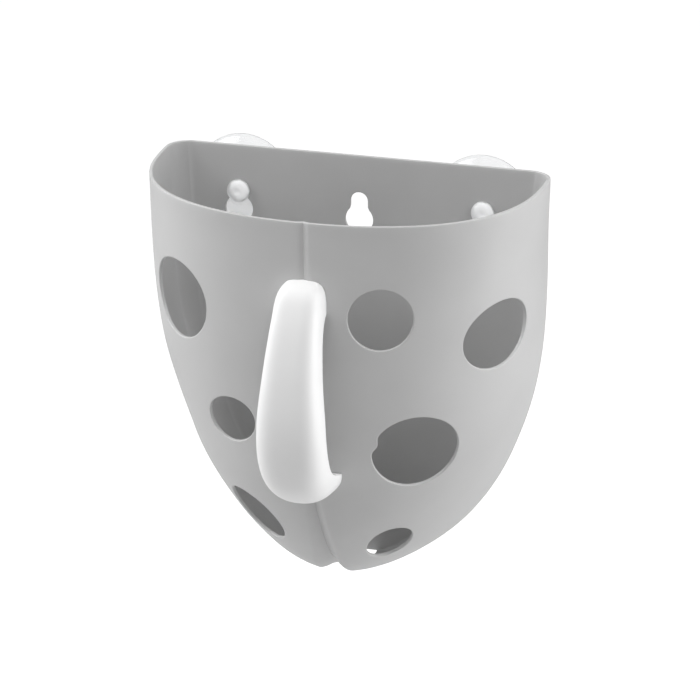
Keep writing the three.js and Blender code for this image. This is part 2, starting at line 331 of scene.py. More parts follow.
def belly_frame(across, up, tilt):
    x, up = across * half_width, up * basket_height
    point = Vector((x, rim_level(up, x), up))
    step = 0.3 * MM
    along = Vector((2 * step, rim_level(up, x + step) - rim_level(up, x - step), 0))
    rising = Vector((0, rim_level(up + step, x) - rim_level(up - step, x), 2 * step))
    outward = along.cross(rising).normalized()
    level = Vector((-outward.y, outward.x, 0)).normalized()
    upright = outward.cross(level)
    turned = level * math.cos(tilt) + upright * math.sin(tilt)
    basis = Matrix((turned, outward.cross(turned), outward)).transposed()
    return Matrix.Translation(point - Vector((0, 0, face_height))) @ basis.to_4x4()


def oval_outline(spot):
    wide, high = spot["wide"] * half_width, spot["high"] * half_width
    points = []
    for step in range(outline_steps):
        turn = 2 * math.pi * step / outline_steps
        points.append(Vector((wide * math.cos(turn), high * math.sin(turn))))
    if spot.get("nib"):
        reach = nib_reach - nib_radius - wide
        turn = nib_turn - spot["tilt"]
        middle = Vector((math.cos(turn), math.sin(turn))) * reach
        for index in range(outline_steps):
            while (points[index] - middle).length < nib_radius:
                points[index] = points[index] * nib_shrink
        for _ in range(nib_rounds):
            points = [(points[index - 1] + 2 * point + points[(index + 1) % outline_steps]) / 4
                      for index, point in enumerate(points)]
    return points


def keyhole_outline():
    drop = math.sqrt((lobe_radius + fillet) ** 2 - (neck_radius + fillet) ** 2)
    lean = math.atan2(drop, neck_radius + fillet)
    aside, up = neck_radius + fillet, drop - keyhole_drop
    arcs = [
        ((0, 0), neck_radius, 0, math.pi),
        ((-aside, up), fillet, 0, -lean),
        ((0, -keyhole_drop), lobe_radius, math.pi - lean, 2 * math.pi + lean),
        ((aside, up), fillet, math.pi + lean, math.pi),
    ]
    points = []
    for middle, radius, start, end in arcs:
        steps = max(fewest_steps, round(abs(end - start) * radius / arc_step))
        for step in range(steps + 1):
            turn = lerp(start, end, step / steps)
            point = Vector(middle) + Vector((math.cos(turn), math.sin(turn))) * radius
            if not points or (point - points[-1]).length > point_gap:
                points.append(point)
    return points


def keyhole_frame(x):
    basis = Matrix(((1, 0, 0), (0, 0, 1), (0, -1, 0))).transposed()
    return Matrix.Translation(Vector((x, 0, keyhole_up - face_height))) @ basis.to_4x4()


print("keyhole outline:", len(keyhole_outline()), "points")

# %% [markdown]
# ## Cutting the holes
# A boolean on a thick wall would leave long thin faces round each hole, which show in the gloss. So
# the sheet is cut first, while it has no thickness. A tube a little larger than the hole cuts it, what
# lies inside is deleted, and the cut edge is extruded inwards twice, down to the true outline. That
# leaves two clean rings of squares round each hole, which the bevel needs later.

# %% Cut the sheet with tubes
cut_margin, ring_margin = 2.4 * MM, 0.9 * MM
belly_reach, back_reach = 18 * MM, 5 * MM
start_radius = 10 * MM


def grown(outline, margin):
    points = []
    for index, point in enumerate(outline):
        along = outline[(index + 1) % len(outline)] - outline[index - 1]
        outward = Vector((along.y, -along.x)).normalized()
        points.append(point + outward * margin)
    return points


def add_slots(thing, *names):
    for name in names:
        thing.data.materials.append(bpy.data.materials.new(name))


holes = []
for spot in spots:
    place = belly_frame(spot["across"], spot["up"], spot["tilt"])
    holes.append(SimpleNamespace(outline=oval_outline(spot), place=place, reach=belly_reach))
for x in keyhole_places:
    holes.append(SimpleNamespace(outline=keyhole_outline(), place=keyhole_frame(x), reach=back_reach))

tubes = []
for hole in holes:
    edge = grown(hole.outline, cut_margin)
    bpy.ops.object.select_all(action="DESELECT")
    bpy.ops.mesh.primitive_circle_add(vertices=len(edge), radius=start_radius)
    tube = name_it("cutting_tube")
    for vertex, point in zip(tube.data.vertices, edge):
        vertex.co = Vector((*point, -hole.reach))
    edit(tube)
    bpy.ops.mesh.select_all(action="SELECT")
    bpy.ops.mesh.extrude_region_move(TRANSFORM_OT_translate={"value": (0, 0, 2 * hole.reach)})
    leave_edit()
    tube.data.transform(hole.place)
    tubes.append(tube)

wall_faces = len(basket.data.polygons)
pick(basket, *tubes)
bpy.ops.object.join()
add_slots(basket, "wall_side", "tube_side")
for face in basket.data.polygons:
    face.material_index = 0 if face.index < wall_faces else 1

sheet = edit(basket)
for face in sheet.faces:
    face.select_set(face.material_index == 1)
bpy.ops.mesh.intersect(mode="SELECT_UNSELECT", separate_mode="NONE", solver="EXACT")
print("after the cut:", len(sheet.faces), "faces")


# %% Delete what lies inside the tubes
def is_inside(outline, x, y):
    inside = False
    for index, point in enumerate(outline):
        before = outline[index - 1]
        if (before.y > y) != (point.y > y):
            crossing = before.x + (point.x - before.x) * (y - before.y) / (point.y - before.y)
            if x < crossing:
                inside = not inside
    return inside


sheet = bmesh.from_edit_mesh(basket.data)
bpy.ops.mesh.select_all(action="DESELECT")
bpy.ops.mesh.select_mode(type="FACE")
for hole in holes:
    hole.cut = grown(hole.outline, cut_margin)
    hole.size = max(point.length for point in hole.cut)
    hole.to_local = hole.place.inverted()
for face in sheet.faces:
    middle = face.calc_center_median_weighted()
    drop = face.material_index == 1
    for hole in holes:
        local = hole.to_local @ middle
        if abs(local.z) < hole.reach and local.xy.length < hole.size:
            drop = drop or is_inside(hole.cut, local.x, local.y)
    face.select_set(drop)
bpy.ops.mesh.delete(type="FACE")
print("left:", len(sheet.faces), "faces")


# %% Extrude each cut edge inwards to the true outline
halvings, size_slack, edge_gap, short_edge = 32, 1.02, 0.05 * MM, 0.25 * MM


def nearest_on(outline, point):
    best = (1e9, 0, 0.0)
    for index, start in enumerate(outline):
        along = outline[(index + 1) % len(outline)] - start
        share = min(1.0, max(0.0, (point - start).dot(along) / along.length_squared))
        gap = (start + along * share - point).length
        if gap < best[0]:
            best = (gap, index, share)
    return best


def is_behind_belly(point):
    section = basket_section(point.z + face_height)
    return abs(point.x) < section.across and point.y > -belly_forward(section, point.x)


def on_wall(hole, point):
    if hole.reach == back_reach:
        return hole.place @ Vector((*point, 0))
    inside, outside = -hole.reach, hole.reach
    for _ in range(halvings):
        middle = (inside + outside) / 2
        if is_behind_belly(hole.place @ Vector((*point, middle))):
            inside = middle
        else:
            outside = middle
    return hole.place @ Vector((*point, middle))


def cut_edges(sheet, hole, outline):
    found = []
    for edge in sheet.edges:
        if not edge.is_boundary:
            continue
        local = [hole.to_local @ vertex.co for vertex in edge.verts]
        if max(abs(point.z) for point in local) > hole.reach:
            continue
        if max(point.xy.length for point in local) > hole.size * size_slack:
            continue
        if max(nearest_on(outline, point.xy)[0] for point in local) < edge_gap:
            found.append(edge)
    return found


def extrude_to(hole, start, goal):
    sheet = bmesh.from_edit_mesh(basket.data)
    bpy.ops.mesh.select_all(action="DESELECT")
    bpy.ops.mesh.select_mode(type="EDGE")
    for edge in cut_edges(sheet, hole, start):
        edge.select_set(True)
    bpy.ops.mesh.extrude_edges_move()
    moved = [vertex for vertex in sheet.verts if vertex.select]
    for vertex in moved:
        _, index, share = nearest_on(start, (hole.to_local @ vertex.co).xy)
        point = goal[index].lerp(goal[(index + 1) % len(goal)], share)
        vertex.co = on_wall(hole, point)
    bmesh.update_edit_mesh(basket.data)
    return len(moved)


for hole in holes:
    sheet = bmesh.from_edit_mesh(basket.data)
    bpy.ops.mesh.select_all(action="DESELECT")
    bpy.ops.mesh.select_mode(type="EDGE")
    for edge in cut_edges(sheet, hole, hole.cut):
        edge.select_set(True)
    bpy.ops.mesh.remove_doubles(threshold=short_edge)
    middle_ring = grown(hole.outline, ring_margin)
    first = extrude_to(hole, hole.cut, middle_ring)
    second = extrude_to(hole, middle_ring, hole.outline)
    print("hole edge has", first, "then", second, "points")
leave_edit()

# %% [markdown]
# ## Closing the bottom
# A basket of this form needs only a small floor. The sheet is still open at its lowest ring, so that
# ring is extruded and merged at its own middle, and no separate disc is needed. The normals are then
# turned outwards, while the sheet has no thickness, because Solidify goes by them later.

# %% Close the floor
floor_top, front_zone = 8.5 * MM - face_height, -100 * MM


def turn_outwards():
    bpy.ops.mesh.select_all(action="SELECT")
    bpy.ops.mesh.normals_make_consistent(inside=False)
    leave_edit()


sheet = edit(basket)
bpy.ops.mesh.select_mode(type="EDGE")
for edge in sheet.edges:
    if edge.is_boundary:
        edge.select_set(max(vertex.co.z for vertex in edge.verts) < floor_top)
bpy.ops.mesh.extrude_edges_move()
bpy.ops.mesh.merge(type="CENTER")
turn_outwards()
front_faces = [face for face in basket.data.polygons if face.center.y < front_zone]
outward_share = sum(face.normal.y < 0 for face in front_faces) / len(front_faces)
print("share of front faces that point outwards:", outward_share)

# %% [markdown]
# ## Out of true, like the real one
# A thin moulding never comes out quite even on both sides. On this one the left side is nearly
# straight below its middle, and the tip sits a little to the left. The sheet is pulled by a few
# millimetres while it is still thin, so the wall that grows from it keeps its thickness. The flat back
# round the keyholes stays where it is.

# %% Pull the sheet
left_pull = [(0, 0.7), (15, 0.9), (40, 0.5), (65, -0.8), (90, -2.6), (110, -3.9), (130, -2.7),
             (160, 0.2), (200, 0.9), (240, 0.4), (272, -0.4)]
right_pull = [(0, -0.4), (40, 0.3), (90, 0.1), (130, 0.7), (160, 0.3), (200, -1), (240, -1.7),
              (272, -0.5)]
tip_aside = [(0, -0.2), (15, -1.7), (35, -0.3), (60, 0.7), (100, 0), (272, 0)]
tip_forward = [(0, 0.2), (15, 0.7), (35, -1.9), (60, -0.6), (100, 0), (272, 0)]
tip_lift = [(0, 0.2), (15, -0.5), (35, -0.3), (60, 0.8), (100, 0), (272, 0)]
flat_share, back_reach_out = 0.72, 30 * MM


def pulled(point):
    up = (point.z + face_height) / MM
    section = basket_section(up * MM)
    aside = min(1.0, abs(point.x) / section.across)
    at_back = smooth_step((aside - flat_share) / (1 - flat_share))
    weight = lerp(at_back, aside ** 4, smooth_step(-point.y / back_reach_out))
    pull = -smooth_through(left_pull, up) if point.x < 0 else smooth_through(right_pull, up)
    forward = min(1.0, -point.y / section.forward)
    return point + MM * Vector((
        pull * weight + smooth_through(tip_aside, up),
        -smooth_through(tip_forward, up) * forward,
        smooth_through(tip_lift, up),
    ))


for vertex in basket.data.vertices:
    vertex.co = pulled(vertex.co)
print("tip:", min((vertex.co for vertex in basket.data.vertices), key=lambda co: co.z))

# %% [markdown]
# ## Giving the wall its thickness
# The real wall is about as thick all over. Solidify grows it inwards by 2.2 mm, with even offset, so
# that it is as thick in the crease as on the flat. The outer side, the narrow faces along rims and
# holes, and the inner side get a material slot each, so that each can have its own finish.

# %% Thicken the wall
basket.data.materials.clear()
add_slots(basket, "outer_side", "rim_side", "inner_side")
apply_modifier(
    basket, "SOLIDIFY", thickness=wall, offset=-1, use_even_offset=True,
    use_quality_normals=True, material_offset_rim=1, material_offset=2,
)
print("thick wall:", count_of(basket), "triangles")

# %% [markdown]
# ## Softening the edges
# A mould leaves no edge quite sharp, and the thin bright lines round the real holes are light caught by
# such soft edges. The edges between the wall and the narrow faces are selected by material and
# bevelled in one go. The bevels take the narrow faces' grey, a shade lighter than the wall: a slight
# painted highlight.

# %% Bevel rims and holes
def soften_edges(thing, softness, material=-1):
    shell = edit(thing)
    bpy.ops.mesh.select_mode(type="EDGE")
    for edge in shell.edges:
        edge.select_set(len({face.material_index for face in edge.link_faces}) == 2)
    bpy.ops.mesh.bevel(
        offset=softness, segments=3, affect="EDGES", clamp_overlap=False, material=material,
    )
    leave_edit()


edge_softness = 0.55 * MM
soften_edges(basket, edge_softness, material=1)
print("bevelled wall:", count_of(basket), "triangles")

# %% [markdown]
# ## The drain and the two slots
# A drain at the very bottom lets the water out. It is cut with one wedge, which opens the floor and
# the foot of the back wall. The grip's two tongues pass through slots in the belly. These three are
# out of the light, so plain booleans are good enough for them.

# %% Cut the drain and the slots
tongue_width, tongue_thick, clearance = 16 * MM, 3 * MM, 0.3 * MM
grip_top = basket_height - 36.1 * MM
grip_height = 146.9 * MM
grip_bottom = grip_top - grip_height
tongue_ups = [grip_top - 8.5 * MM, grip_bottom + 6 * MM]
drain_wide, drain_run, drain_bottom = 23 * MM, 18 * MM, -4 * MM
drain_back, drain_front = 0.9 * MM, 13 * MM
drain_past, drain_softness = 1 * MM, 1 * MM
slot_middle, slot_run = -100 * MM, 80 * MM


def add_box(name, middle, size):
    bpy.ops.object.select_all(action="DESELECT")
    bpy.ops.mesh.primitive_cube_add(size=1, location=middle, scale=size)
    box = name_it(name)
    bpy.ops.object.transform_apply(location=True, rotation=False, scale=True)
    return box


def smooth(thing, degrees):
    pick(thing)
    bpy.ops.object.shade_smooth_by_angle(angle=math.radians(degrees))


drain = add_box(
    "drain_cutter",
    (0, drain_past - drain_run / 2, (drain_back + drain_bottom) / 2 - face_height),
    (drain_wide, drain_run, drain_back - drain_bottom),
)
wedge = edit(drain)
for vertex in wedge.verts:
    vertex.select_set(vertex.co.y < -drain_run / 2 and vertex.co.z > -face_height)
bpy.ops.transform.translate(value=(0, 0, drain_front - drain_back))
leave_edit()
apply_modifier(drain, "BEVEL", width=drain_softness, segments=4)
cut_with(basket, drain)
for up in tongue_ups:
    slot_size = (tongue_width + 2 * clearance, slot_run, tongue_thick + 2 * clearance)
    cut_with(basket, add_box("slot_cutter", (0, slot_middle, up - face_height), slot_size))

smooth(basket, 35)
print("basket:", count_of(basket), "triangles")

# %% [markdown]
# ## The grip
# The grip is a white channel, open towards the basket, narrow at the top and wide at its foot. Its
# outer and inner lines are smooth curves through a few points. A sheet is wrapped round them and gets
# its thickness, and its two ends are trimmed by the belly's own form, so that they follow it closely.

# %% Lines of the grip
grip_reach, grip_skin = 39 * MM, 2.6 * MM
grip_wide_top, grip_wide_foot = 31.5 * MM, 44.5 * MM
outer_line = [
    (-0.75, 0), (-0.24, 0), (0.293, 0.037), (0.733, 0.141), (0.933, 0.275),
    (1, 0.436), (0.9, 0.658), (0.61, 0.893), (0.35, 0.987), (-0.1, 1),
]
inner_line = [
    (-0.75, 0.1), (-0.35, 0.115), (0, 0.145), (0.267, 0.195), (0.467, 0.289),
    (0.52, 0.436), (0.43, 0.638), (0.24, 0.799), (0.13, 0.846), (-0.1, 0.866),
]
width_line = [0.84, 0.78, 0.84, 0.88, 0.89, 0.76, 0.31, -0.05, -0.12, -0.28]
lean_line = [-0.5, -0.4, -0.6, -0.7, -0.7, -0.7, -0.4, 0.2, 0.5, 0.4]
roundness_line = [2.2, 2.2, 2.3, 2.5, 2.9, 3.2, 3.4, 3.6, 3.8, 4.0]


def knots_of(line):
    return [Vector((0, -basket_depth - grip_reach * out, grip_bottom + grip_height * up))
            for out, up in line]


def on_line(knots, share):
    """A point on the smooth line through the knots; share runs evenly from knot to knot."""
    place = share * (len(knots) - 1)
    index = min(int(place), len(knots) - 2)
    share = place - index
    padded = [2 * knots[0] - knots[1], *knots, 2 * knots[-1] - knots[-2]]
    before, start, end, after = padded[index:index + 4]
    gaps = [(start - before).length ** 0.5, (end - start).length ** 0.5, (after - end).length ** 0.5]
    leave = (start - before) / gaps[0] - (end - before) / (gaps[0] + gaps[1]) + (end - start) / gaps[1]
    reach = (end - start) / gaps[1] - (after - start) / (gaps[1] + gaps[2]) + (after - end) / gaps[2]
    square, cube = share ** 2, share ** 3
    return (start * (2 * cube - 3 * square + 1) + leave * gaps[1] * (cube - 2 * square + share)
            + end * (3 * square - 2 * cube) + reach * gaps[1] * (cube - square))


outer_knots, inner_knots = knots_of(outer_line), knots_of(inner_line)
width_knots = [Vector((index * MM, lerp(grip_wide_top, grip_wide_foot, share) / 2, lean * MM))
               for index, (share, lean) in enumerate(zip(width_line, lean_line))]
roundness_knots = list(enumerate(roundness_line))
print("grip's foremost point:", on_line(outer_knots, 5 / 9))

# %% Wrap the grip's sheet
grip_rows, grip_columns, at_side = 90, 48, 0.999
grip_softness = 0.5 * MM


def grip_sheet(name, closed=False):
    bpy.ops.object.select_all(action="DESELECT")
    bpy.ops.mesh.primitive_grid_add(x_subdivisions=grip_columns, y_subdivisions=grip_rows, size=2)
    piece = name_it(name)
    if closed:
        sheet = edit(piece)
        bpy.ops.mesh.select_mode(type="EDGE")
        for edge in sheet.edges:
            edge.select_set(min(abs(vertex.co.x) for vertex in edge.verts) > at_side)
        bpy.ops.mesh.bridge_edge_loops()
        bpy.ops.mesh.select_all(action="SELECT")
        bpy.ops.mesh.fill_holes(sides=0)
        leave_edit()
    for vertex in piece.data.vertices:
        share = (vertex.co.y + 1) / 2
        turn = math.pi * (vertex.co.x + 1) / 2
        front, back = on_line(outer_knots, share), on_line(inner_knots, share)
        _, half_span, lean = on_line(width_knots, share)
        roundness = smooth_through(roundness_knots, share * (len(roundness_knots) - 1))
        cosine, sine = math.cos(turn), max(0.0, math.sin(turn))
        x = lean - half_span * math.copysign(abs(cosine) ** (2 / roundness), cosine)
        down = (back - front).length * (1 - sine ** (2 / roundness))
        point = front + (back - front).normalized() * down
        vertex.co = Vector((x, point.y, point.z - face_height))
    edit(piece)
    turn_outwards()
    foremost = min(piece.data.polygons, key=lambda face: face.center.y)
    if foremost.normal.y > 0:
        piece.data.flip_normals()
    return piece


grip = grip_sheet("grip_shell")
add_slots(grip, "grip_side", "grip_rim")
apply_modifier(
    grip, "SOLIDIFY", thickness=grip_skin, offset=-1, use_even_offset=True,
    use_quality_normals=True, material_offset_rim=1,
)
soften_edges(grip, grip_softness)
print("grip shell:", count_of(grip), "triangles")

# %% [markdown]
# ## The grip's feet
# At both ends the channel is closed by a thin plate that lies on the belly. The plate is what a closed
# copy of the grip and a slightly swollen belly have in common. A belly block with a little clearance
# then trims everything, which gives the ends the belly's own curve.

# %% Root plates and trim
root_plate = 3 * MM
block_columns, block_rows, block_low, block_high = 60, 80, 72, 262
block_half, block_rear = 36 * MM, -40 * MM


def belly_block(name, inset):
    bpy.ops.object.select_all(action="DESELECT")
    bpy.ops.mesh.primitive_grid_add(x_subdivisions=block_columns, y_subdivisions=block_rows, size=2)
    block = name_it(name)
    for vertex in block.data.vertices:
        x = block_half * vertex.co.x
        up = lerp(block_low, block_high, (vertex.co.y + 1) / 2) * MM
        section = basket_section(up, inset)
        point = press_crease(Vector((x, -belly_forward(section, x), up)), section)
        vertex.co = Vector((x, point.y, up - face_height))
    block_sheet = edit(block)
    bpy.ops.mesh.select_all(action="SELECT")
    bpy.ops.mesh.extrude_region_move()
    for vertex in block_sheet.verts:
        if vertex.select:
            vertex.co.y = block_rear
    turn_outwards()
    return block


plates = grip_sheet("grip_plates", closed=True)
cut_with(plates, belly_block("swollen_belly", -clearance - root_plate), "INTERSECT")
cut_with(grip, plates, "UNION")
cut_with(grip, belly_block("belly_trim", -clearance))
print("grip with its plates:", count_of(grip), "triangles")

# %% [markdown]
# ## The snap tongues
# How the real grip is held can't be seen. A tongue that goes through a slot and has a barb behind the
# wall is a common way, so each tongue is built from two boxes. The barb's inner end is pushed down to
# a slope, as such a barb needs to slip in, and both boxes are joined.

# %% Snap tongues
tongue_inside, barb_rise = 3.4 * MM, 1.8 * MM
tongue_sink, wedge_step, tongue_softness = 1.5 * MM, 1 * MM, 0.3 * MM


def snap_tongue(up):
    section = basket_section(up)
    belly = -section.forward
    inner = belly + section.crease_depth + wall + clearance
    start, end = belly - tongue_sink, inner + tongue_inside
    tongue = add_box(
        "snap_tongue", (0, (start + end) / 2, up - face_height),
        (tongue_width, end - start, tongue_thick),
    )
    barb = add_box(
        "snap_barb", (0, (inner + end) / 2, up + barb_rise / 2 - face_height),
        (tongue_width, end - inner, tongue_thick + barb_rise),
    )
    wedge = edit(barb)
    for vertex in wedge.verts:
        is_upper = vertex.co.z > up - face_height + wedge_step
        vertex.select_set(vertex.co.y > inner + wedge_step and is_upper)
    bpy.ops.transform.translate(value=(0, 0, -barb_rise))
    leave_edit()
    cut_with(tongue, barb, "UNION")
    apply_modifier(tongue, "BEVEL", width=tongue_softness, segments=2, limit_method="ANGLE")
    return tongue


for up in tongue_ups:
    cut_with(grip, snap_tongue(up), "UNION")
smooth(grip, 35)
print("grip:", count_of(grip), "triangles")

# %% [markdown]
# ## The suction cups
# A cup is turned round: a mushroom head in front of the wall, a neck in the keyhole and a soft dish
# behind. Half of its outline is drawn as a line of points, spun once round and merged. The second cup
# is a copy with a mesh of its own, because it slides on a joint of its own.

# %% Outline of a cup
cup_radius, cup_stand_off, cup_lip = 31.5 * MM, 15 * MM, 1.4 * MM
head_radius, head_thick, cup_neck = 7.4 * MM, 5 * MM, 5.2 * MM
shoulder_radius, cup_skin, hub_thick = 11 * MM, 1.6 * MM, 4.5 * MM
head_back = -wall - clearance
head_front = head_back - head_thick
pad_radius, pad_step = 20.5 * MM, 0.5 * MM
cup_steps, dish_steps, head_steps = 120, 24, 8
dish_power, step_run, hollow_rise = 1.5, 1.5 * MM, hub_thick - 0.65 * MM
nub_line = [(0, 0.9), (0.8, 0.8), (1.6, 0.45), (2.3, 0.08), (3.1, 0)]
nub_radius, head_round = 3.1 * MM, 3.2 * MM


def dish(share, reach, lift):
    rise = (cup_stand_off - clearance - lift) * share ** dish_power
    out = lerp(shoulder_radius, reach, share)
    step = pad_step * smooth_step((pad_radius - out) / step_run) if lift == cup_skin else 0
    return (out, clearance + lift + rise - step)


def cup_outline():
    points = [(out * MM, head_front + back * MM) for out, back in nub_line]
    for step in range(1, head_steps + 1):
        turn = math.pi / 2 * step / head_steps
        out = nub_radius + (head_radius - nub_radius) * math.sin(turn)
        points.append((out, head_front + head_round * (1 - math.cos(turn))))
    points += [(head_radius, head_back - 0.6 * MM), (head_radius - 0.5 * MM, head_back - 0.1 * MM),
               (cup_neck + 0.5 * MM, head_back), (cup_neck, head_back + 0.5 * MM),
               (cup_neck, clearance - 0.5 * MM), (cup_neck + 0.5 * MM, clearance),
               (shoulder_radius - 0.6 * MM, clearance), (shoulder_radius, clearance + 0.5 * MM)]
    points += [dish(step / dish_steps, cup_radius, cup_skin) for step in range(1, dish_steps)]
    points += [(cup_radius, cup_stand_off - 0.8 * MM), (cup_radius, cup_stand_off - 0.3 * MM),
               (cup_radius - 0.3 * MM, cup_stand_off), (cup_radius - cup_lip, cup_stand_off)]
    points += [dish(step / dish_steps, cup_radius - cup_lip, hollow_rise)
               for step in range(dish_steps - 1, 0, -1)]
    points += [(shoulder_radius * 0.7, clearance + hub_thick - 0.3 * MM),
               (shoulder_radius * 0.35, clearance + hub_thick - 0.05 * MM),
               (0, clearance + hub_thick)]
    return points


# %% Spin the cups
outline = cup_outline()
cup_middle = Vector((keyhole_places[0], 0, keyhole_up - face_height))
bpy.ops.object.select_all(action="DESELECT")
bpy.ops.mesh.primitive_circle_add(vertices=len(outline), radius=start_radius)
left_cup = name_it("cup_left_clear")
for vertex, (out, back) in zip(left_cup.data.vertices, outline):
    vertex.co = cup_middle + Vector((out, back, 0))
line = edit(left_cup)
bpy.ops.mesh.select_mode(type="EDGE")
for edge in line.edges:
    edge.select_set({vertex.index for vertex in edge.verts} == {0, len(outline) - 1})
bpy.ops.mesh.delete(type="EDGE")
bpy.ops.mesh.select_all(action="SELECT")
bpy.ops.mesh.spin(steps=cup_steps, angle=2 * math.pi, center=cup_middle, axis=(0, 1, 0))
bpy.ops.mesh.select_all(action="SELECT")
bpy.ops.mesh.remove_doubles(threshold=weld_gap)
turn_outwards()
add_slots(left_cup, "thin_side", "thick_side")
for face in left_cup.data.polygons:
    out = math.hypot(face.center.x - cup_middle.x, face.center.z - cup_middle.z)
    face.material_index = 0 if out > pad_radius else 1
smooth(left_cup, 50)
right_cup = left_cup.copy()
right_cup.data = left_cup.data.copy()
right_cup.name = right_cup.data.name = "cup_right_clear"
bpy.context.scene.collection.objects.link(right_cup)
right_cup.data.transform(Matrix.Translation((keyhole_places[2] - keyhole_places[0], 0, 0)))
print("one cup:", count_of(left_cup), "triangles")

# %% [markdown]
# ## The soft dishes lean
# A soft dish gives way, so the real cups sit a little aside of their keyholes. Each dish is moved by a
# few millimetres at its lip, and less the nearer it is to the wall of the basket. The head and the
# neck stay in the keyhole.

# %% Let the soft dishes lean
left_lean, right_lean = Vector((-1.6, 0, 0.7)) * MM, Vector((-4, 0, 0.5)) * MM


def lean_dish(cup, lean):
    for vertex in cup.data.vertices:
        back = max(0.0, vertex.co.y - clearance) / cup_stand_off
        vertex.co += lean * back


lean_dish(left_cup, left_lean)
lean_dish(right_cup, right_lean)
print("lips lean aside by", left_lean.x, "and", right_lean.x)

# %% [markdown]
# ## What moves with what
# Basket and grip are one body. Each cup slides in its keyhole on its own. The pieces stand for the
# plain CAD solids, which stay in the physics model.

# %% Ride on the bodies
for piece, body, node, slot in (
    (basket, "basket", "basket", "basket_plastic"),
    (grip, "basket", "grip", "grip_plastic"),
    (left_cup, "cup_left", "suction_cup_left", "clear_pvc"),
    (right_cup, "cup_right", "suction_cup_right", "clear_pvc"),
):
    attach(piece, body)
    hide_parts(node)
    print(piece.name, "rides on", body)

# %% [markdown]
# ## Plastic
# Both plastics are moulded, so both share one effect: a very fine grain with slow waves under it,
# as the mould's skin and the cooling leave them. It is built once as a node group. The grey and the
# white then differ in colour, gloss and in how strong the effect is.

# %% Node group: moulded surface
def new_group(name, inputs, outputs):
    group = bpy.data.node_groups.new(name, "ShaderNodeTree")
    for socket_name, kind, value in inputs:
        socket = group.interface.new_socket(name=socket_name, in_out="INPUT", socket_type=kind)
        if value is not None:
            socket.default_value = value
    for socket_name, kind in outputs:
        group.interface.new_socket(name=socket_name, in_out="OUTPUT", socket_type=kind)
    return group, group.nodes.new("NodeGroupInput"), group.nodes.new("NodeGroupOutput")


def add_node(tree, kind, settings=None, **inputs):
    node = tree.nodes.new(kind)
    for key, value in (settings or {}).items():
        setattr(node, key, value)
    for key, value in inputs.items():
        socket = node.inputs[key.replace("_", " ")]
        if isinstance(value, bpy.types.NodeSocket):
            tree.links.new(value, socket)
        else:
            socket.default_value = value
    return node


moulded, given, result = new_group(
    "moulded_surface",
    [("Vector", "NodeSocketVector", None), ("Grain Size", "NodeSocketFloat", 2500.0),
     ("Wave Size", "NodeSocketFloat", 14.0), ("Wave Share", "NodeSocketFloat", 0.3)],
    [("Tone", "NodeSocketFloat"), ("Height", "NodeSocketFloat")],
)
grain = add_node(moulded, "ShaderNodeTexNoise", Detail=2.0, Roughness=0.6,
                 Vector=given.outputs["Vector"], Scale=given.outputs["Grain Size"])
waves = add_node(moulded, "ShaderNodeTexNoise", Detail=3.0, Roughness=0.5,
                 Vector=given.outputs["Vector"], Scale=given.outputs["Wave Size"])
mixed = moulded.nodes.new("ShaderNodeMix")
moulded.links.new(given.outputs["Wave Share"], mixed.inputs["Factor"])
moulded.links.new(grain.outputs["Fac"], mixed.inputs["A"])
moulded.links.new(waves.outputs["Fac"], mixed.inputs["B"])
moulded.links.new(mixed.outputs["Result"], result.inputs["Height"])
moulded.links.new(waves.outputs["Fac"], result.inputs["Tone"])
print("group:", moulded.name)


# %% Plastic materials
tone_low, tone_high = 0.35, 0.65
plastic_relief, pvc_relief = 0.1 * MM, 0.2 * MM


def moulded_material(name, rough_low, rough_high, bump, relief_depth):
    material = bpy.data.materials.new(name)
    material.use_nodes = True
    tree = material.node_tree
    shader = tree.nodes["Principled BSDF"]
    place = tree.nodes.new("ShaderNodeTexCoord")
    surface = tree.nodes.new("ShaderNodeGroup")
    surface.node_tree = moulded
    tree.links.new(place.outputs["Object"], surface.inputs["Vector"])
    spread = add_node(tree, "ShaderNodeMapRange", From_Min=tone_low, From_Max=tone_high,
                      To_Min=rough_low, To_Max=rough_high, Value=surface.outputs["Tone"])
    tree.links.new(spread.outputs["Result"], shader.inputs["Roughness"])
    relief = add_node(tree, "ShaderNodeBump", Strength=bump, Distance=relief_depth,
                      Height=surface.outputs["Height"])
    tree.links.new(relief.outputs["Normal"], shader.inputs["Normal"])
    return material, tree, shader, surface


def plastic(name, dark, light, rough_low, rough_high, bump, wave_share):
    material, tree, shader, surface = moulded_material(
        name, rough_low, rough_high, bump, plastic_relief,
    )
    surface.inputs["Wave Share"].default_value = wave_share
    ramp = tree.nodes.new("ShaderNodeValToRGB")
    ramp.color_ramp.elements[0].position = tone_low
    ramp.color_ramp.elements[1].position = tone_high
    ramp.color_ramp.elements[0].color = (*dark, 1)
    ramp.color_ramp.elements[1].color = (*light, 1)
    tree.links.new(surface.outputs["Tone"], ramp.inputs["Fac"])
    tree.links.new(ramp.outputs["Color"], shader.inputs["Base Color"])
    return material


def grey(level):
    return (level, level, level)


basket_side = plastic("basket_grey", grey(0.53), grey(0.56), 0.42, 0.5, 0.25, 0.5)
# The rims, hole edges and their bevels are glossier than the wall. Their grey is a shade lighter, a
# slight painted highlight.
basket_edge_highlight = plastic("basket_grey_edge_highlight", grey(0.54), grey(0.57), 0.34, 0.4, 0.15, 0.5)
basket_inner = plastic("basket_grey_inner", grey(0.53), grey(0.56), 0.5, 0.6, 0.3, 0.5)
grip_side = plastic("grip_white", grey(0.9), grey(0.93), 0.42, 0.5, 0.1, 0.6)
for piece, finishes in (
    (basket, (basket_side, basket_edge_highlight, basket_inner)),
    (grip, (grip_side, grip_side)),
):
    for index, finish in enumerate(finishes):
        piece.data.materials[index] = finish
    while len(piece.data.materials) > len(finishes):
        piece.data.materials.pop()
print("basket finishes:", [finish.name for finish in basket.data.materials])

# %% [markdown]
# ## Clear PVC
# The cups are soft PVC. The thin dish and its lip look nearly clear, while the head and the pad in the
# middle are thicker, scatter the light and look milky. So one plastic is given two finishes, and they
# meet at the small step round the pad. Tiny flow marks break the reflections of both.

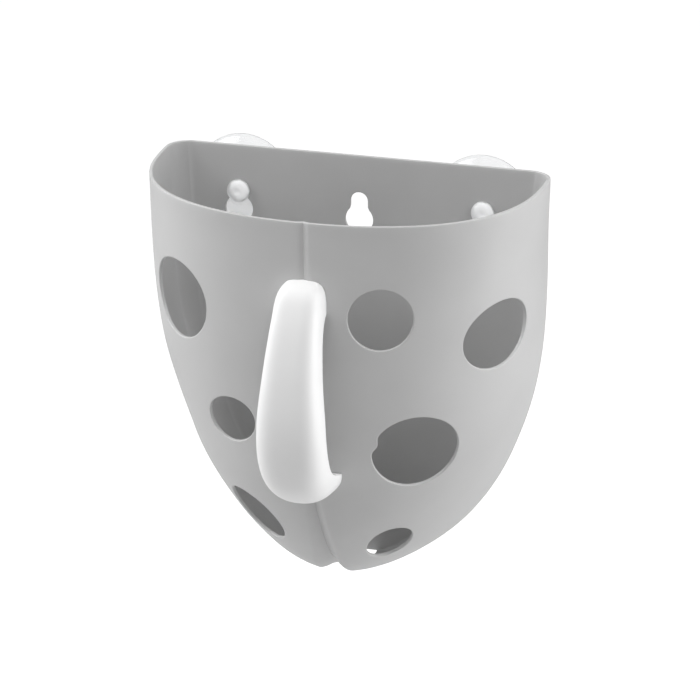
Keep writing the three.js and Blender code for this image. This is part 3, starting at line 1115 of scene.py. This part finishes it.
# %% PVC materials
pvc_bump, flow_marks, pvc_ior = 0.2, 60.0, 1.4


def pvc(name, tint, see_through, rough_low, rough_high):
    material, _, shader, surface = moulded_material(name, rough_low, rough_high, pvc_bump, pvc_relief)
    surface.inputs["Wave Size"].default_value = flow_marks
    shader.inputs["Base Color"].default_value = (*tint, 1)
    shader.inputs["Transmission Weight"].default_value = see_through
    shader.inputs["IOR"].default_value = pvc_ior
    return material


dish_pvc = pvc("cup_clear_pvc", (0.8, 0.805, 0.81), 0.95, 0.06, 0.12)
thick_pvc = pvc("cup_milky_pvc", (0.93, 0.935, 0.94), 0.7, 0.35, 0.45)
for cup in (left_cup, right_cup):
    cup.data.materials[0] = dish_pvc
    cup.data.materials[1] = thick_pvc
print("cup finishes:", [finish.name for finish in left_cup.data.materials])

# %% [markdown]
# ## Floor, world and lamps
# The basket is shown as in a bright studio: white behind it, with two broad soft lamps at either side
# and a weak one high in front. The world lights the plastic softly, and only what looks straight at
# it, looks through the clear cups or mirrors it sees white. The pale floor lies well below, as under a
# basket on a wall, and keeps the soft shadow. Where it is seen, straight or through a cup, it also
# gives off some light of its own, to look paler.

# %% World
soft_level = 0.19


def larger_of(tree, one, other):
    node = add_node(tree, "ShaderNodeMath", {"operation": "MAXIMUM"})
    tree.links.new(one, node.inputs[0])
    tree.links.new(other, node.inputs[1])
    return node.outputs[0]


world = bpy.data.worlds.new("studio")
bpy.context.scene.world = world
world.use_nodes = True
tree = world.node_tree
tree.nodes.clear()
path = tree.nodes.new("ShaderNodeLightPath")
seen = larger_of(tree, path.outputs["Is Camera Ray"], path.outputs["Is Glossy Ray"])
seen = larger_of(tree, seen, path.outputs["Is Transmission Ray"])
strength = add_node(tree, "ShaderNodeMapRange", To_Min=soft_level, To_Max=1.0, Value=seen)
sky = add_node(tree, "ShaderNodeBackground", Color=(1, 1, 1, 1), Strength=strength.outputs["Result"])
output = tree.nodes.new("ShaderNodeOutputWorld")
tree.links.new(sky.outputs["Background"], output.inputs["Surface"])
print("world light:", soft_level)


# %% Lamps
lamp_aim = Vector((0, -0.06, 0))


def soft_lamp(name, place, size, watts):
    data = bpy.data.lights.new(name, "AREA")
    data.shape = "RECTANGLE"
    data.size = size
    data.size_y = size
    data.energy = watts
    lamp = bpy.data.objects.new(name, data)
    bpy.context.scene.collection.objects.link(lamp)
    lamp.location = place
    lamp.rotation_euler = (Vector(place) - lamp_aim).to_track_quat("Z", "Y").to_euler()
    lamp.visible_camera = False


soft_lamp("lamp_left", (-1.5, -0.2, 0.3), 1.1, 9.5)
soft_lamp("lamp_left_high", (-1.3, -0.4, 1.35), 1.1, 19)
soft_lamp("lamp_right", (1.5, 0.2, 0.2), 1.1, 13.5)
soft_lamp("lamp_right_high", (1.3, -0.5, 1.5), 1.1, 12)
soft_lamp("lamp_front_high", (0.1, -1.0, 1.4), 1.2, 5)
print("lamps:", len(bpy.data.lights))

# %% Floor
floor_size, floor_back, floor_level, floor_glow = 9, 2.0, -0.6, 0.75

bpy.ops.object.select_all(action="DESELECT")
bpy.ops.mesh.primitive_plane_add(size=floor_size, location=(0, floor_back, floor_level))
floor = name_it("floor")
bpy.ops.object.transform_apply(location=True, rotation=False, scale=True)
pale = bpy.data.materials.new("pale_floor")
pale.use_nodes = True
tree = pale.node_tree
shader = tree.nodes["Principled BSDF"]
place = tree.nodes.new("ShaderNodeTexCoord")
speckle = add_node(tree, "ShaderNodeTexNoise", Vector=place.outputs["Object"], Scale=40.0, Detail=4.0)
tone = add_node(tree, "ShaderNodeMapRange", To_Min=0.8, To_Max=0.84, Value=speckle.outputs["Fac"])
tree.links.new(tone.outputs["Result"], shader.inputs["Base Color"])
shader.inputs["Roughness"].default_value = 0.9
path = tree.nodes.new("ShaderNodeLightPath")
glow = add_node(tree, "ShaderNodeEmission", Color=(1, 1, 1, 1), Strength=floor_glow)
both = tree.nodes.new("ShaderNodeAddShader")
tree.links.new(shader.outputs["BSDF"], both.inputs[0])
tree.links.new(glow.outputs["Emission"], both.inputs[1])
seen = larger_of(tree, path.outputs["Is Camera Ray"], path.outputs["Is Transmission Ray"])
choice = tree.nodes.new("ShaderNodeMixShader")
tree.links.new(seen, choice.inputs["Fac"])
tree.links.new(shader.outputs["BSDF"], choice.inputs[1])
tree.links.new(both.outputs["Shader"], choice.inputs[2])
tree.links.new(choice.outputs["Shader"], tree.nodes["Material Output"].inputs["Surface"])
floor.data.materials.append(pale)
print("floor at", floor_level, "m")
